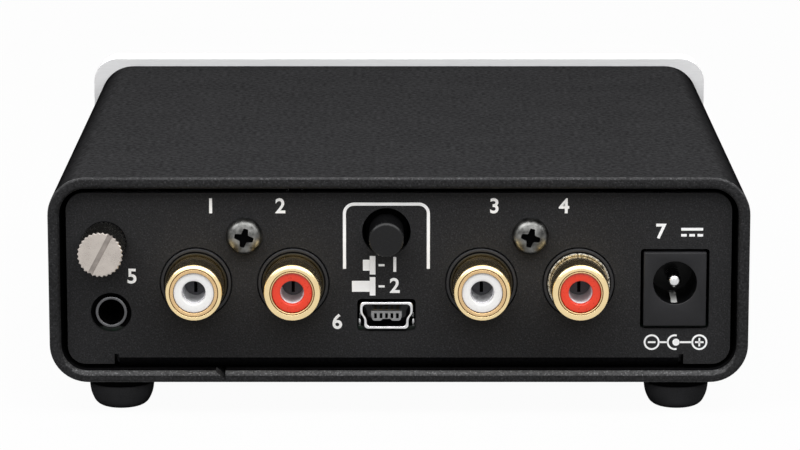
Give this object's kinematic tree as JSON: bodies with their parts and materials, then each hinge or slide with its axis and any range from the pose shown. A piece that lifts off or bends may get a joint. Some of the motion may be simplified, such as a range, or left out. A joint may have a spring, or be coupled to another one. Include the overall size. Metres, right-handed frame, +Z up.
{
  "type": "phono preamp",
  "caption": "Small metal-cased turntable preamp with phono, power, data and line sockets at the rear, an earth screw, and push buttons and a level knob in front.",
  "frame": {"origin": "centre of the overall box in X and Y, on the plane of the feet's soles", "axes": "+X to the right seen from the front panel, +Y to the rear sockets, +Z up"},
  "size_m": [0.103, 0.1286, 0.0362],
  "materials": {
    "sleeve_paint": "fine textured black powder coat",
    "tray_paint": "fine textured black powder coat",
    "panel_aluminium": "brushed and clear anodised",
    "knob_aluminium": "turned and clear anodised",
    "foot_rubber": "satin moulded rubber",
    "zinc_steel": "zinc plated",
    "dark_nickel": "dark nickel plated",
    "light_nickel": "light nickel plated",
    "gold_plate": "gold plated",
    "gold_contact": "gold plated",
    "white_plastic": "moulded",
    "red_plastic": "moulded",
    "black_plastic": "fine moulded texture",
    "black_caps": "moulded",
    "grey_caps": "turned and anodised",
    "white_plungers": "moulded",
    "bright_steel": "tinned",
    "tongue_grey": "moulded",
    "board_green": "solder resist over glass fibre",
    "pot_body": "moulded",
    "shaft_metal": "turned",
    "blue_lens": "clear tinted lens",
    "amber_lens": "clear tinted lens",
    "can_sleeve": "shrink sleeve over aluminium",
    "film_resin": "resin dipped",
    "chip_resin": "moulded epoxy",
    "relay_shell": "moulded",
    "resistor_body": "lacquered"
  },
  "bodies": {
    "case": {"board_screws": "zinc_steel", "board_standoffs": "zinc_steel", "chassis_tray": "tray_paint", "clinch_nuts": "zinc_steel", "crystal": "bright_steel", "electrolytic_capacitors": "can_sleeve", "feet": "foot_rubber", "film_capacitors": "film_resin", "foot_studs": "zinc_steel", "front_panel": "panel_aluminium", "gain_pot_body": "pot_body", "gain_pot_nut": "zinc_steel", "ground_bush": "light_nickel", "header_pins": "bright_steel", "input_socket_housing": "black_plastic", "input_switch_housing": "black_plastic", "led_leads": "bright_steel", "level_led": "amber_lens", "line_jack_body": "black_plastic", "line_jack_contacts": "bright_steel", "line_jack_ferrule": "bright_steel", "main_board": "board_green", "mode_switch_housing": "black_plastic", "op_amps": "chip_resin", "output_socket_housing": "black_plastic", "panel_screws": "zinc_steel", "power_jack_body": "black_plastic", "power_jack_pin": "bright_steel", "power_jack_spring": "bright_steel", "power_led": "blue_lens", "power_switch_housing": "black_plastic", "red_insulators": "red_plastic", "relays": "relay_shell", "resistors": "resistor_body", "riser_board": "board_green", "riser_headers": "black_plastic", "sleeve_cover": "sleeve_paint", "socket_barrels": "gold_plate", "socket_center_contacts": "gold_contact", "socket_screws": "dark_nickel", "usb_codec_chip": "chip_resin", "usb_contacts": "gold_contact", "usb_shell": "bright_steel", "usb_tongue": "tongue_grey", "voltage_regulator": "chip_resin", "white_insulators": "white_plastic"},
    "level_knob": {"gain_knob": "knob_aluminium", "knob_grub_screw": "dark_nickel", "gain_pot_shaft": "shaft_metal"},
    "power_push": {"power_button": "grey_caps", "power_switch_plunger": "white_plungers"},
    "input_push": {"input_button": "grey_caps", "input_switch_plunger": "white_plungers"},
    "mode_push": {"mode_button": "black_caps", "mode_switch_plunger": "white_plungers"},
    "earth_washer": {"ground_washer": "light_nickel"},
    "earth_screw": {"ground_screw": "light_nickel"}
  },
  "joints": [
    {"name": "level_turn", "type": "hinge", "parent": "case", "child": "level_knob", "pos_m": [0.031, -0.0523, 0.02], "axis": [0, 1, 0], "range_deg": [-150, 150]},
    {"name": "power_press", "type": "slide", "parent": "case", "child": "power_push", "axis": [0, 1, 0], "range_m": [0, 0.0025], "stiffness_N_per_m": 300, "springref_m": -0.0006},
    {"name": "input_press", "type": "slide", "parent": "case", "child": "input_push", "axis": [0, 1, 0], "range_m": [0, 0.0025], "stiffness_N_per_m": 300, "springref_m": -0.0006},
    {"name": "mode_press", "type": "slide", "parent": "case", "child": "mode_push", "axis": [0, -1, 0], "range_m": [0, 0.0025], "stiffness_N_per_m": 300, "springref_m": -0.0006},
    {"name": "earth_travel", "type": "slide", "parent": "case", "child": "earth_washer", "axis": [0, 1, 0], "range_m": [0, 0.0015]},
    {"name": "earth_turn", "type": "hinge", "parent": "earth_washer", "child": "earth_screw", "pos_m": [0.0423, 0.0565, 0.0252], "axis": [0, 1, 0], "range_deg": [0, 1081]}
  ],
  "couplings": [
    {"joint": "earth_turn", "follows": "earth_travel", "rad_per_m": 12566}
  ]
}
